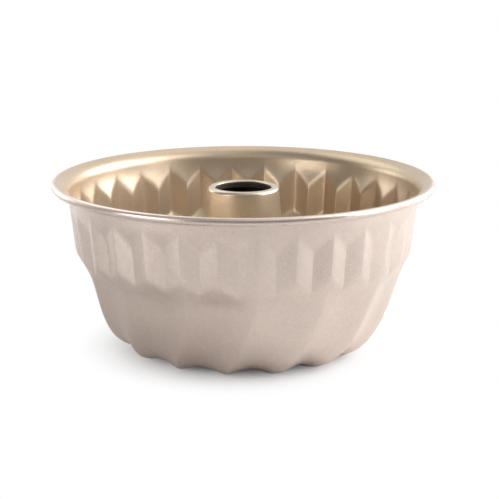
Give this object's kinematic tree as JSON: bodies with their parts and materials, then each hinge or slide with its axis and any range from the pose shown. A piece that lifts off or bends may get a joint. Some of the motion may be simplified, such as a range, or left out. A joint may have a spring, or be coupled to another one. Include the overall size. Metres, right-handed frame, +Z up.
{
  "type": "fluted tube pan",
  "caption": "Round ring cake pan with pleated upper wall, swirled fluted bowl, tapered centre tube and curled rim, in champagne-gold non-stick coat.",
  "frame": {"origin": "on the table, under the middle of the tube", "axes": "+Z up along the tube, -Y towards the front of the pan"},
  "size_m": [0.2198, 0.2198, 0.0987],
  "materials": {
    "shell_coat": "satin champagne-gold metallic non-stick coat on drawn carbon steel",
    "tube_coat": "satin gold metallic non-stick coat on drawn carbon steel",
    "wire_steel": "drawn bright steel wire"
  },
  "bodies": {
    "root": {"fluted_shell": "shell_coat", "centre_tube": "tube_coat", "rim_wire": "wire_steel"}
  },
  "joints": []
}
